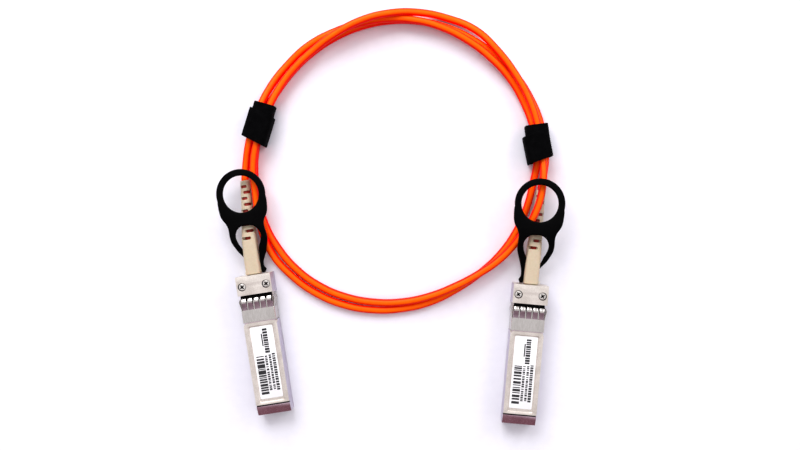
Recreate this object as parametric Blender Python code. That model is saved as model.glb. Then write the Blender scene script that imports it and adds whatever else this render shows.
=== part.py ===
"""Active optical cable: two small pluggable transceiver modules joined by one looped fibre cable.

Everything is laid out in millimetres and written to the meshes in metres. Each module is modelled in
its own frame and then placed by an empty: +Y runs from the edge connector at the tail (y = 0) to the
pull tab, +X is to the right, and z = 0 is the underside of the body. The head reaches below the body,
so a module lying on a table leans on its tail edge and on the head.
"""
from math import asin, cos, pi, radians, sin, sqrt

import bmesh
import bpy
from mathutils import Matrix, Vector

MM = 0.001
GAP = 0.3                      # air left between pieces that touch on the real object

# Module body, to the small form-factor pluggable outline
BODY_LENGTH = 56.5
BODY_HALF_WIDTH = 6.7
BODY_HEIGHT = 8.5
SPLIT_HEIGHT = 6.2             # top edge of the lower housing's walls
COLLAR_START = 36.8            # where the body steps in for the spring collar
COLLAR_SEAT_END = 47.3
SEAT_HALF_WIDTH = 6.15
SEAT_BOTTOM = 0.55
SEAT_TOP = 7.95
HEAD_START = 48.5
HEAD_HALF_WIDTH = 7.05
HEAD_BOTTOM = -0.9
HEAD_TOP = 8.8
HEAD_SPLIT = 4.6
CAVITY_HALF_WIDTH = 5.55
TAIL_OPENING = 10.4            # length of the opening under the edge connector
TAIL_RAMP = 3.8
CABLE_HEIGHT = 4.6             # height of the cable's axis inside the module
BORE_RADIUS = 2.4

# Spring collar
SHEET = 0.3
COLLAR_HALF_WIDTH = SEAT_HALF_WIDTH + GAP + SHEET
COLLAR_BOTTOM = SEAT_BOTTOM - GAP - SHEET
COLLAR_TOP = SEAT_TOP + GAP + SHEET
FINGER_ROOT = 42.9
FINGER_PITCH = 2.56
FINGER_RISE = 0.5

# Screws in the head
SCREW_X = 4.8
SCREW_Y = 52.1
SCREW_HEAD_RADIUS = 1.3

# Latch: a rocker on a cross pin, tipped by a slider that the pull tab draws out
PIVOT_Y = 49.5
PIVOT_Z = 0.0
PIN_RADIUS = 0.3
ROCKER_HALF_WIDTH = 1.9
SLIDER_BOTTOM = 0.95
SLIDER_TOP = 1.5

# Cable and boot
CABLE_RADIUS = 1.5
CABLE_BORE = CABLE_RADIUS + GAP
BOOT_START = BODY_LENGTH + GAP
BOOT_NECK = 3.2                # length of the boot's neck inside the head
BOOT_LENGTH = 38.0
BOOT_BEND_END = 21.0           # the boot bends over this first stretch, then runs straight
BOOT_DROOP = 0.11              # downward slope of its straight stretch
BOOT_SLOTS = 9
BOOT_SLOT_FIRST = 14.3
BOOT_SLOT_PITCH = 2.625
BOOT_SLOT_WIDTH = 0.9

# Pull tab
RING_CENTRE = 32.8             # ahead of the head's front face
RING_RADIUS = 10.0
RING_HOLE = 7.45
TAB_THICKNESS = 2.0
TAB_FOOT_HEIGHT = 2.8

# Where the modules lie: tail centre on the table, and the turn about the vertical
MODULES = {
    "a": {"tail": (-46.23, -46.46), "turn": 8.8, "boot_sway": 0.0612, "ring_height": 7.3, "rise": 19.0},
    "b": {"tail": (51.97, -50.90), "turn": -5.1, "boot_sway": 0.0430, "ring_height": 9.35, "rise": 22.0},
}
PITCH = asin(-HEAD_BOTTOM / HEAD_START)

# The cable's loop, about its own centre: clockwise angle, radius and height of the cable's axis
LOOP_CENTRE = (2.22, 55.07)
LOOP_STEP = 11.25
LOOP_FIRST = 171.4 + LOOP_STEP
LOOP_ROUTE = [
    # first turn: out of boot A, through the left tie, under the second turn at the top
    (184, 61.4, 2.7), (180, 60.9, 2.6), (175, 60.2, 3.4), (171.4, 59.8, 4.9), (166, 59.3, 5.5),
    (160, 59.2, 5.3), (155, 59.3, 4.4), (148, 59.5, 2.8), (140, 59.5, 1.6), (130, 59.4, 2.6),
    (120, 58.7, 4.2), (111, 57.9, 4.9), (102, 57.9, 5.0), (88, 58.0, 5.0), (75, 57.8, 4.9),
    (64, 57.5, 4.6), (55, 57.35, 4.2), (47, 57.4, 3.9), (37, 57.75, 3.0), (28, 57.85, 1.8),
    (14, 57.9, 2.6), (2.6, 58.0, 2.6), (-8, 56.95, 2.0), (-14, 56.75, 1.6), (-22, 56.85, 1.6), (-34, 57.0, 1.6),
    (-47, 57.1, 1.6), (-60, 57.2, 1.6), (-72, 58.6, 1.6), (-85, 59.8, 1.6), (-100, 61.3, 1.6),
    (-115, 62.5, 1.6), (-130, 63.0, 1.6), (-145, 62.8, 1.9), (-151, 61.7, 3.6), (-154, 60.9, 4.4),
    # second turn: beside boot A, over the first turn at the top, over boot B and the first again
    (-157, 60.1, 4.8), (-160, 59.3, 4.9), (-163, 58.7, 5.0), (-166, 58.3, 5.0), (-171, 57.9, 5.1),
    (-177, 57.7, 5.1), (-180, 57.6, 5.1),
    (-185, 57.1, 5.4), (-190, 56.4, 5.75), (-195, 55.8, 5.75), (-200, 55.7, 5.6), (-212, 55.7, 5.1),
    (-230, 55.9, 5.1), (-240, 56.2, 6.6), (-249, 57.2, 8.1), (-257, 58.2, 8.4), (-265, 59.1, 8.2),
    (-272, 60.3, 7.3), (-280, 61.5, 4.0), (-290, 62.6, 1.7), (-300, 63.0, 2.7), (-306, 62.6, 3.6),
    (-312, 61.4, 4.8), (-318, 60.5, 5.2), (-330, 60.0, 5.6), (-346, 59.5, 5.7), (-357.4, 59.6, 5.7),
    (-367, 60.2, 7.5), (-376, 60.3, 7.9), (-384, 60.0, 7.75), (-392, 59.0, 5.6), (-400, 58.4, 4.8),
    (-410, 57.1, 5.0), (-421, 56.2, 4.9), (-432, 56.3, 4.3), (-445, 57.0, 3.7), (-460, 58.0, 2.6),
    (-475, 59.1, 1.7), (-490, 59.7, 1.6), (-505, 59.5, 1.6), (-514, 59.2, 1.6),
    # third turn: under the second beside boot A, lowest in both ties, along the table, into boot B
    (-520, 58.8, 1.6), (-526, 58.3, 1.6), (-532, 58.0, 1.6), (-537, 57.8, 1.6),
    (-541, 57.5, 1.65), (-548.6, 57.2, 2.3), (-560, 57.4, 2.3), (-565, 57.0, 1.9), (-572, 56.3, 1.6),
    (-590, 56.3, 1.6), (-608, 56.9, 1.6), (-622, 57.7, 1.6), (-640, 58.5, 1.6), (-657, 59.1, 1.6),
    (-668, 59.5, 1.6), (-680, 60.4, 1.6), (-690, 60.9, 1.7), (-706, 61.3, 2.6), (-717.4, 61.3, 2.7),
]

# Cable ties: angle and radius of the centre about the loop, turn of the strap, half-width of the bundle
TIES = {
    "left": {"angle": 165.8, "radius": 57.5, "turn": -17.0, "bundle": 3.3},
    "right": {"angle": 6.6, "radius": 59.2, "turn": 7.8, "bundle": 3.5},
}
TIE_WIDTH = 12.0
TIE_HALF_ACROSS = 5.5
TIE_SOLE = 0.8
TIE_INNER_TOP = 7.75
TIE_TOP = 8.9


# ---------------------------------------------------------------- mesh helpers

def box(bm, x, y, z, bevel=0.0):
    """A box between pairs of coordinates, with all its edges bevelled by the given width."""
    centre = Vector(((x[0] + x[1]) / 2, (y[0] + y[1]) / 2, (z[0] + z[1]) / 2))
    size = (x[1] - x[0], y[1] - y[0], z[1] - z[0])
    matrix = Matrix.Translation(centre) @ Matrix.Diagonal((*size, 1.0))
    verts = bmesh.ops.create_cube(bm, size=1.0, matrix=matrix)["verts"]
    if bevel:
        edges = {edge for vert in verts for edge in vert.link_edges}
        bmesh.ops.bevel(bm, geom=list(edges), offset=bevel, segments=1, affect="EDGES")


def loft(bm, rings, capped=True):
    """Walls between successive closed rings of points, and a face over each end ring."""
    loops = [[bm.verts.new(point) for point in ring] for ring in rings]
    count = len(rings[0])
    for low, high in zip(loops, loops[1:]):
        for i in range(count):
            j = (i + 1) % count
            bm.faces.new((low[i], low[j], high[j], high[i]))
    if capped:
        bm.faces.new(list(reversed(loops[0])))
        bm.faces.new(loops[-1])
    return loops


def shell(bm, outer, inner):
    """A tube with its own outer and inner rings, closed by a flat band at each end."""
    outer_loops = loft(bm, outer, capped=False)
    inner_loops = loft(bm, [list(reversed(ring)) for ring in inner], capped=False)
    count = len(outer[0])
    for end in (0, -1):
        out, into = outer_loops[end], list(reversed(inner_loops[end]))
        for i in range(count):
            j = (i + 1) % count
            face = (out[j], out[i], into[i], into[j])
            bm.faces.new(face if end == 0 else tuple(reversed(face)))


def prism(bm, outline, axis, low, high):
    """An outline of points in the plane across an axis, extruded along that axis."""
    places = {
        "x": lambda a, b, c: (c, a, b),
        "y": lambda a, b, c: (a, c, b),
        "z": lambda a, b, c: (a, b, c),
    }
    place = places[axis]
    loft(bm, [[place(a, b, level) for a, b in outline] for level in (low, high)])


def circle(centre, radius, axis, level, count):
    """A ring of points about an axis, at a level along it."""
    points = []
    for i in range(count):
        angle = 2 * pi * (i + 0.5) / count
        a, b = centre[0] + radius * cos(angle), centre[1] + radius * sin(angle)
        points.append({"x": (level, a, b), "y": (a, level, b), "z": (a, b, level)}[axis])
    return points


def cylinder(bm, centre, radius, axis, low, high, count=16):
    loft(bm, [circle(centre, radius, axis, level, count) for level in (low, high)])


def rounded_outline(half_width, low, high, radius, steps=3):
    """A rectangle with round corners, as points (across, up)."""
    corners = [(half_width, high, 0), (-half_width, high, 90), (-half_width, low, 180),
               (half_width, low, 270)]
    points = []
    for x, z, start in corners:
        cx = x - radius if x > 0 else x + radius
        cz = z - radius if z == high else z + radius
        for i in range(steps + 1):
            angle = radians(start + 90 * i / steps)
            points.append((cx + radius * cos(angle), cz + radius * sin(angle)))
    return points


def finish(name, bm, material, parent, smooth=True):
    """Turn a mesh drawn in millimetres into a named object with one material."""
    bmesh.ops.scale(bm, vec=(MM, MM, MM), verts=bm.verts)
    bmesh.ops.recalc_face_normals(bm, faces=bm.faces)
    mesh = bpy.data.meshes.new(name)
    bm.to_mesh(mesh)
    bm.free()
    if smooth:
        mesh.shade_smooth()
        mesh.set_sharp_from_angle(angle=radians(35))
    mesh.materials.append(material)
    item = bpy.data.objects.new(name, mesh)
    bpy.context.collection.objects.link(item)
    item.parent = parent
    return item


def combine(target, operation, draw):
    """Join a hidden solid to the target, or cut it out; draw(bm) draws that solid."""
    bm = bmesh.new()
    draw(bm)
    count = len(target.modifiers)
    tool = finish(f"{target.name}_tool_{count}", bm, target.data.materials[0], target.parent, smooth=False)
    tool.hide_render = True
    tool.display_type = "WIRE"
    modifier = target.modifiers.new(f"step_{count}", "BOOLEAN")
    modifier.operation = operation
    modifier.solver = "EXACT"
    modifier.object = tool


def add(target, draw):
    combine(target, "UNION", draw)


def cut(target, draw):
    combine(target, "DIFFERENCE", draw)


def make_material(name, colour, roughness, metallic=0.0):
    material = bpy.data.materials.new(name)
    material.use_nodes = True
    shader = material.node_tree.nodes["Principled BSDF"]
    shader.inputs["Base Color"].default_value = (*colour, 1.0)
    shader.inputs["Roughness"].default_value = roughness
    shader.inputs["Metallic"].default_value = metallic
    return material


def make_materials():
    return {
        "die_cast": make_material("die_cast", (0.55, 0.51, 0.48), 0.42, 1.0),
        "spring_sheet": make_material("spring_sheet", (0.62, 0.58, 0.55), 0.28, 1.0),
        "steel": make_material("steel", (0.50, 0.48, 0.46), 0.30, 1.0),
        "label": make_material("label", (0.85, 0.85, 0.86), 0.55),
        "board": make_material("board", (0.03, 0.16, 0.07), 0.45),
        "chip": make_material("chip", (0.02, 0.02, 0.022), 0.50),
        "lens": make_material("lens", (0.75, 0.70, 0.45), 0.15),
        "fibre": make_material("fibre", (0.80, 0.85, 0.88), 0.20),
        "pad": make_material("pad", (0.45, 0.50, 0.58), 0.80),
        "boot": make_material("boot", (0.73, 0.59, 0.42), 0.55),
        "tab": make_material("tab", (0.008, 0.008, 0.009), 0.50),
        "cable": make_material("cable", (1.0, 0.20, 0.0), 0.38),
        "tie": make_material("tie", (0.006, 0.006, 0.007), 0.95),
    }


# ---------------------------------------------------------------- metal shells of a module

def lower_housing(letter, place, materials):
    """Die-cast tub: walls, floor and the lower half of the head, with the latch's channel under it."""
    bm = bmesh.new()
    box(bm, (-BODY_HALF_WIDTH, BODY_HALF_WIDTH), (0, COLLAR_START), (0, SPLIT_HEIGHT), bevel=0.25)
    tub = finish(f"lower_housing_{letter}", bm, materials["die_cast"], place, smooth=False)
    seat = SEAT_HALF_WIDTH
    add(tub, lambda b: box(b, (-seat, seat), (COLLAR_START - 1, COLLAR_SEAT_END), (SEAT_BOTTOM, 6.1)))
    add(tub, lambda b: box(b, (-6.1, 6.1), (COLLAR_SEAT_END - 1, HEAD_START + 1), (0.6, 4.3)))
    head = HEAD_HALF_WIDTH
    top = HEAD_SPLIT - GAP / 2
    add(tub, lambda b: box(b, (-head, head), (HEAD_START, BODY_LENGTH), (HEAD_BOTTOM, top), bevel=0.35))
    cavity = CAVITY_HALF_WIDTH
    cut(tub, lambda b: box(b, (-cavity, cavity), (-1, 40.5), (1.95, 8)))
    cut(tub, lambda b: box(b, (-cavity, cavity), (39.5, 46.6), (3.0, 8)))
    cut(tub, lambda b: box(b, (-4.4, 4.4), (TAIL_OPENING + 0.8, 39.0), (0.9, 2.5)))
    cut(tub, lambda b: box(b, (-6.0, 6.0), (-1, TAIL_OPENING), (-1, 2.5)))
    cut(tub, lambda b: cylinder(b, (0, CABLE_HEIGHT), BORE_RADIUS, "y", 46, 58))
    cut(tub, lambda b: box(b, (-2.3, 2.3), (41.6, 53.6), (-2, 1.85)))
    slot = [(-4.6, 48.7), (4.6, 48.7), (4.6, 58), (3.2, 58), (3.2, 52.7), (-3.2, 52.7),
            (-3.2, 58), (-4.6, 58)]
    cut(tub, lambda b: prism(b, slot, "z", 0.65, 1.8))
    cut(tub, lambda b: cylinder(b, (PIVOT_Y, PIVOT_Z), PIN_RADIUS + 0.2, "x", -3.2, 3.2, 12))
    for side in (-1, 1):
        cut(tub, lambda b: cylinder(b, (side * SCREW_X, SCREW_Y), 0.9, "z", 2.9, 6, 12))
    return tub


def upper_cover(letter, place, materials):
    """Lid with the label's recess, a ramp at its tail and the upper half of the head."""
    bm = bmesh.new()
    profile = [(0, 6.5), (COLLAR_START, 6.5), (COLLAR_START, BODY_HEIGHT), (TAIL_RAMP, BODY_HEIGHT),
               (0, 6.9)]
    prism(bm, profile, "x", -BODY_HALF_WIDTH, BODY_HALF_WIDTH)
    lid = finish(f"upper_cover_{letter}", bm, materials["die_cast"], place, smooth=False)
    seat = SEAT_HALF_WIDTH
    add(lid, lambda b: box(b, (-seat, seat), (COLLAR_START - 1, COLLAR_SEAT_END), (6.6, SEAT_TOP)))
    step = [(46.4, 6.75), (47.6, 6.75), (47.6, 4.9), (49.2, 4.9), (49.2, 7.9), (46.4, 7.9)]
    add(lid, lambda b: prism(b, step, "x", -6.0, 6.0))
    head = HEAD_HALF_WIDTH
    base = HEAD_SPLIT + GAP / 2
    add(lid, lambda b: box(b, (-head, head), (HEAD_START, BODY_LENGTH), (base, HEAD_TOP), bevel=0.35))
    cut(lid, lambda b: box(b, (-5.2, 5.2), (4.2, 45.8), (5, 7.5)))
    cut(lid, lambda b: box(b, (-4.85, 4.85), (5.4, 35.4), (7.9, 10)))
    cut(lid, lambda b: cylinder(b, (0, CABLE_HEIGHT), BORE_RADIUS, "y", 46, 58))
    for side in (-1, 1):
        centre = (side * SCREW_X, SCREW_Y)
        cut(lid, lambda b: cylinder(b, centre, SCREW_HEAD_RADIUS + 0.4, "z", 7.35, 10, 20))
        cut(lid, lambda b: cylinder(b, centre, 0.9, "z", 4, 8, 12))
    return lid


def screw(name, side, place, materials):
    """Countersunk-bore screw with a cross recess."""
    bm = bmesh.new()
    centre = (side * SCREW_X, SCREW_Y)
    levels = [(3.2, 0.55), (7.65, 0.55), (7.65, SCREW_HEAD_RADIUS), (8.3, SCREW_HEAD_RADIUS), (8.45, 1.1)]
    loft(bm, [circle(centre, radius, "z", height, 16) for height, radius in levels])
    item = finish(name, bm, materials["steel"], place)
    x, y = centre
    cross = [(0.2, 0.2), (0.2, 0.8), (-0.2, 0.8), (-0.2, 0.2), (-0.8, 0.2), (-0.8, -0.2),
             (-0.2, -0.2), (-0.2, -0.8), (0.2, -0.8), (0.2, -0.2), (0.8, -0.2), (0.8, 0.2)]
    cut(item, lambda b: prism(b, [(x + a, y + c) for a, c in cross], "z", 7.95, 9))
    return item


def finger(bm, across, width, turn):
    """One bowed spring finger. turn says which wall it stands on: 0 top, 1 left, 2 bottom, 3 right."""
    rise = FINGER_RISE
    centre = [(-0.5, 0.0), (0.2, 0.0), (1.4, 0.15), (2.9, rise), (3.4, rise), (4.0, 0.15), (4.4, -0.15)]
    half = SHEET / 2 - 0.03
    side = [(y, z + half) for y, z in centre] + [(y, z - half) for y, z in reversed(centre)]
    level = {0: COLLAR_TOP, 1: COLLAR_HALF_WIDTH, 2: -COLLAR_BOTTOM, 3: COLLAR_HALF_WIDTH}[turn] - SHEET / 2
    rings = []
    for edge in (across - width / 2, across + width / 2):
        ring = []
        for y, z in side:
            out = level + z
            point = {0: (edge, out), 1: (-out, edge), 2: (edge, -out), 3: (out, edge)}[turn]
            ring.append((point[0], FINGER_ROOT + y, point[1]))
        rings.append(ring)
    loft(bm, rings)


def emi_collar(letter, place, materials):
    """Stamped sleeve round the body, with bowed fingers that touch the cage on all four sides."""
    bm = bmesh.new()
    outer = rounded_outline(COLLAR_HALF_WIDTH, COLLAR_BOTTOM, COLLAR_TOP, 0.6)
    inner = rounded_outline(COLLAR_HALF_WIDTH - SHEET, COLLAR_BOTTOM + SHEET, COLLAR_TOP - SHEET, 0.3)
    rings = [[[(x, y, z) for x, z in outline] for y in (COLLAR_START + GAP, FINGER_ROOT)]
             for outline in (outer, inner)]
    shell(bm, *rings)
    collar = finish(f"emi_collar_{letter}", bm, materials["spring_sheet"], place)

    def fingers(b):
        for i in range(5):
            finger(b, (i - 2) * FINGER_PITCH, 1.9, 0)
        for height in (1.75, 4.25, 6.75):
            finger(b, height, 1.8, 1)
            finger(b, height, 1.8, 3)
        for across, width in ((-5.2, 1.7), (-3.3, 1.3), (3.3, 1.3), (5.2, 1.7)):
            finger(b, across, width, 2)

    add(collar, fingers)
    cut(collar, lambda b: box(b, (-2.4, 2.4), (41.4, 44), (-1, 1)))
    return collar


# ---------------------------------------------------------------- inside a module

def inner_pieces(letter, place, materials):
    """Board, chips, optics, crimp and the pad that carries heat to the cover."""
    def block(name, material, x, y, z, bevel=0.0):
        bm = bmesh.new()
        box(bm, x, y, z, bevel)
        return finish(f"{name}_{letter}", bm, materials[material], place, smooth=False)

    block("label", "label", (-4.55, 4.55), (5.75, 35.05), (8.2, 8.3))
    bm = bmesh.new()
    outline = [(-4.6, 3.2), (4.6, 3.2), (4.6, 12), (5.2, 12.6), (5.2, 39.2), (-5.2, 39.2),
               (-5.2, 12.6), (-4.6, 12)]
    prism(bm, outline, "z", 2.25, 3.25)
    finish(f"circuit_board_{letter}", bm, materials["board"], place, smooth=False)
    block("controller_chip", "chip", (-2.5, 2.5), (13.5, 18.5), (3.55, 4.45), 0.1)
    block("driver_chip", "chip", (-2.0, 2.0), (23.5, 27.5), (3.55, 4.45), 0.1)
    block("thermal_pad", "pad", (-3.0, 3.0), (22.5, 28.5), (4.75, 7.2), 0.2)
    block("lens_block", "lens", (-2.4, 2.4), (31.5, 37.0), (3.55, 5.7), 0.2)
    block("fibre_ribbon", "fibre", (-0.6, 0.6), (37.3, 50.2), (4.4, 4.8), 0.1)
    bm = bmesh.new()
    ends = (48.4, 52.9)
    shell(bm, *[[circle((0, CABLE_HEIGHT), radius, "y", y, 16) for y in ends] for radius in (2.1, CABLE_BORE)])
    finish(f"crimp_ring_{letter}", bm, materials["steel"], place)


# ---------------------------------------------------------------- latch

def latch(letter, place, slider_parent, rocker_parent, materials):
    """Rocker with the locking boss, its pin and leaf spring, and the slider that tips it."""
    bm = bmesh.new()
    profile = [(42.4, 0.15), (43.5, -0.45), (45.0, -0.45), (45.0, 0.15), (48.3, 0.15), (48.9, -0.65),
               (50.1, -0.65), (52.1, -0.3), (52.1, 0.75), (50.1, 0.65), (48.9, 0.7), (47.5, 0.85), (42.4, 0.7)]
    profile = [(y - PIVOT_Y, z - PIVOT_Z) for y, z in profile]
    prism(bm, profile, "x", -ROCKER_HALF_WIDTH, ROCKER_HALF_WIDTH)
    rocker = finish(f"latch_rocker_{letter}", bm, materials["steel"], rocker_parent, smooth=False)
    cut(rocker, lambda b: cylinder(b, (0, 0), PIN_RADIUS + 0.1, "x", -3, 3, 12))
    bm = bmesh.new()
    cylinder(bm, (PIVOT_Y, PIVOT_Z), PIN_RADIUS, "x", -2.9, 2.9, 12)
    finish(f"pivot_pin_{letter}", bm, materials["steel"], place)
    bm = bmesh.new()
    leaf = [(43.3, 1.58), (45.5, 1.55), (48.3, 1.2), (48.3, 1.32), (45.5, 1.7), (43.3, 1.73)]
    prism(bm, leaf, "x", -1.2, 1.2)
    finish(f"leaf_spring_{letter}", bm, materials["spring_sheet"], place, smooth=False)
    bm = bmesh.new()
    plan = [(-4.3, 49.0), (4.3, 49.0), (4.3, 57.9), (3.5, 57.9), (3.5, 50.3), (-3.5, 50.3),
            (-3.5, 57.9), (-4.3, 57.9)]
    prism(bm, plan, "z", SLIDER_BOTTOM, SLIDER_TOP)
    finish(f"latch_slider_{letter}", bm, materials["steel"], slider_parent, smooth=False)


# ---------------------------------------------------------------- boot and pull tab

def boot_axis(along, spec):
    """Centre of the boot at a distance ahead of its base, in the module's frame."""
    bend = BOOT_BEND_END
    shift = along * along / (2 * bend) if along < bend else along - bend / 2
    if along <= 0:
        shift = 0.0
    return (spec["boot_sway"] * shift, BOOT_START + along, CABLE_HEIGHT - BOOT_DROOP * shift)


def boot_half_width(along):
    """Half-width of the boot: a straight square base, then a taper."""
    stations = [(0, 2.6), (13, 2.65), (18, 2.58), (22, 2.42), (30, 2.12), (BOOT_LENGTH, 1.98)]
    for (low, wide), (high, narrow) in zip(stations, stations[1:]):
        if along <= high:
            return wide + (narrow - wide) * (along - low) / (high - low)
    return stations[-1][1]


def boot_ring(along, spec, radius, squareness, count=12):
    """Section of the boot: a circle, or a square with round corners as squareness grows."""
    cx, cy, cz = boot_axis(along, spec)
    points = []
    for i in range(count):
        angle = 2 * pi * (i + 0.5) / count
        c, s = cos(angle), sin(angle)
        power = 2 + 4 * squareness
        reach = radius / (abs(c) ** power + abs(s) ** power) ** (1 / power)
        points.append((cx + reach * c, cy, cz + reach * s))
    return points


def boot(letter, place, spec, materials):
    """Strain relief: a neck held in the head, a square base, and a slotted taper."""
    stations = [0, 7, 13, 18, 22, 26, 30, 34, BOOT_LENGTH]
    outer = [boot_ring(-BOOT_NECK, spec, 2.15, 0), boot_ring(0, spec, 2.15, 0)]
    inner = [boot_ring(-BOOT_NECK, spec, CABLE_BORE, 0), boot_ring(-1, spec, CABLE_BORE, 0)]
    for along in stations:
        outer.append(boot_ring(along, spec, boot_half_width(along), max(0.0, 1 - along / 24)))
        inner.append(boot_ring(along, spec, CABLE_BORE, 0))
    bm = bmesh.new()
    shell(bm, outer, inner)
    item = finish(f"boot_{letter}", bm, materials["boot"], place)

    def slots(b):
        for i in range(BOOT_SLOTS):
            along = BOOT_SLOT_FIRST + i * BOOT_SLOT_PITCH
            cx, cy, cz = boot_axis(along, spec)
            side = 1 if i % 2 else -1
            for level in (1, -1):
                near, far = cx - side * level * 0.5, cx + side * level * 4
                x = (min(near, far), max(near, far))
                z = (cz + 0.35, cz + 4) if level > 0 else (cz - 4, cz - 0.35)
                box(b, x, (cy - BOOT_SLOT_WIDTH / 2, cy + BOOT_SLOT_WIDTH / 2), z)

    cut(item, slots)
    return item


def tab_stations():
    """Plan of the pull tab: place along it from the ring's centre, outer and inner half-widths."""
    arms = [(-32.5, 4.3, 3.0), (-31.2, 4.3, 3.0), (-30.4, 3.85, 3.0), (-28.0, 3.9, 3.0), (-26.3, 4.2, 3.0),
            (-24.8, 4.6, 3.05), (-23.2, 5.2, 3.2), (-21.7, 5.85, 3.65), (-20.2, 6.55, 4.3), (-18.7, 7.1, 4.85),
            (-17.1, 7.3, 5.05), (-15.6, 7.3, 4.8), (-14.1, 7.3, 3.95), (-13.0, 7.3, 2.4), (-12.5, 7.35, 0),
            (-11.0, 8.0, 0), (-9.5, 8.95, 0)]
    ring = []
    for along in (-7.45, -7.1, -6.0, -4.0, -1.5, 1.5, 4.0, 6.0, 7.1, 7.45, 8.8, 9.7, 9.98):
        hole = sqrt(max(0.0, RING_HOLE ** 2 - along ** 2))
        side = sqrt(RING_RADIUS ** 2 - max(0.0, along) ** 2)
        side -= 0.3 * max(0.0, -along - 5) / 2.45
        ring.append((along, side, hole))
    return arms + ring


def tab_height(ahead, spec):
    """Height of the tab's middle above the body's underside, at a distance ahead of the head."""
    share = min(1.0, max(0.0, (ahead - 1.0) / spec["rise"]))
    return TAB_FOOT_HEIGHT + (spec["ring_height"] - TAB_FOOT_HEIGHT) * share * share * (3 - 2 * share)


def pull_tab(letter, parent, spec, materials):
    """Moulded tab: two arms past the boot, a waist, and a finger ring."""
    bm = bmesh.new()
    levels = []
    for along, wide, narrow in tab_stations():
        ahead = RING_CENTRE + along
        y = BODY_LENGTH + ahead
        middle = tab_height(ahead, spec)
        layers = []
        for z in (middle - TAB_THICKNESS / 2, middle + TAB_THICKNESS / 2):
            if narrow:
                inner = [bm.verts.new((side * narrow, y, z)) for side in (-1, 1)]
            else:
                inner = [bm.verts.new((0, y, z))] * 2
            outer = [bm.verts.new((side * wide, y, z)) for side in (-1, 1)]
            layers.append((inner, outer))
        levels.append((layers, narrow))
    for index, ((low, low_gap), (high, high_gap)) in enumerate(zip(levels, levels[1:])):
        for side in (0, 1):
            for layer in (0, 1):
                (inner_a, outer_a), (inner_b, outer_b) = low[layer], high[layer]
                bm.faces.new((inner_a[side], outer_a[side], outer_b[side], inner_b[side]))
            bm.faces.new((low[0][1][side], high[0][1][side], high[1][1][side], low[1][1][side]))
            if low_gap or high_gap:
                bm.faces.new((low[0][0][side], high[0][0][side], high[1][0][side], low[1][0][side]))
    first, last = levels[0][0], levels[-1][0]
    for side in (0, 1):
        bm.faces.new((first[0][0][side], first[0][1][side], first[1][1][side], first[1][0][side]))
        bm.faces.new((last[0][0][side], last[0][1][side], last[1][1][side], last[1][0][side]))
    return finish(f"pull_tab_{letter}", bm, materials["tab"], parent)


# ---------------------------------------------------------------- cable and ties

def catmull(values, i, share):
    """Smooth value between points i and i + 1 of a list."""
    p0, p1 = values[max(i - 1, 0)], values[i]
    p2, p3 = values[i + 1], values[min(i + 2, len(values) - 1)]
    return 0.5 * (2 * p1 + (p2 - p0) * share + (2 * p0 - 5 * p1 + 4 * p2 - p3) * share ** 2
                  + (3 * p1 - p0 - 3 * p2 + p3) * share ** 3)


def loop_point(angle):
    """Point of the cable's axis at an angle of the loop, in millimetres."""
    angles = [row[0] for row in LOOP_ROUTE]
    i = max(k for k in range(len(angles) - 1) if angles[k] >= angle)
    share = (angle - angles[i]) / (angles[i + 1] - angles[i])
    radius = catmull([row[1] for row in LOOP_ROUTE], i, share)
    height = catmull([row[2] for row in LOOP_ROUTE], i, share)
    turn = radians(angle)
    return Vector((LOOP_CENTRE[0] + radius * cos(turn), LOOP_CENTRE[1] + radius * sin(turn), height))


def module_matrix(spec):
    """Frame of a module, in millimetres."""
    x, y = spec["tail"]
    turn = Matrix.Rotation(radians(spec["turn"]), 4, "Z") @ Matrix.Rotation(PITCH, 4, "X")
    return Matrix.Translation((x, y, 0)) @ turn


def boot_points(spec):
    """The cable's axis inside a module and its boot, from the inner end outwards."""
    matrix = module_matrix(spec)
    inner_end = Vector((0, 50.6, CABLE_HEIGHT))
    in_boot = [matrix @ Vector(boot_axis(along, spec)) for along in (0, 13, 26, BOOT_LENGTH)]
    return [matrix @ inner_end] + in_boot


def cable(materials):
    """The whole cord: out of one boot, round the loop two and a half times, into the other."""
    points = boot_points(MODULES["a"])
    angle = LOOP_FIRST
    while angle > LOOP_ROUTE[-1][0]:
        points.append(loop_point(angle))
        angle -= LOOP_STEP
    points += reversed(boot_points(MODULES["b"]))
    curve = bpy.data.curves.new("cable", "CURVE")
    curve.dimensions = "3D"
    curve.bevel_depth = CABLE_RADIUS * MM
    curve.bevel_resolution = 2
    curve.use_fill_caps = True
    spline = curve.splines.new("POLY")
    spline.points.add(len(points) - 1)
    for knot, point in zip(spline.points, points):
        knot.co = (*(point * MM), 1.0)
    curve.materials.append(materials["cable"])
    item = bpy.data.objects.new("cable", curve)
    bpy.context.collection.objects.link(item)
    return item


def tie(name, spec, materials):
    """Closed strap round the three runs of the cable, resting on the table."""
    bm = bmesh.new()
    outer = rounded_outline(TIE_HALF_ACROSS, 0.0, TIE_TOP, 2.0, 4)
    inner = rounded_outline(spec["bundle"] + GAP, TIE_SOLE, TIE_INNER_TOP, 1.0, 4)
    half = TIE_WIDTH / 2
    shell(bm, *[[[(x, y, z) for x, z in outline] for y in (-half, half)] for outline in (outer, inner)])
    item = finish(f"tie_{name}", bm, materials["tie"], None)
    angle = radians(spec["angle"])
    x = LOOP_CENTRE[0] + spec["radius"] * cos(angle)
    y = LOOP_CENTRE[1] + spec["radius"] * sin(angle)
    item.location = (x * MM, y * MM, 0)
    item.rotation_euler = (0, 0, radians(spec["turn"]))
    return item


# ---------------------------------------------------------------- assembly

def empty(name, parent=None, location=(0, 0, 0)):
    item = bpy.data.objects.new(name, None)
    bpy.context.collection.objects.link(item)
    item.parent = parent
    item.location = [value * MM for value in location]
    return item


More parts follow.
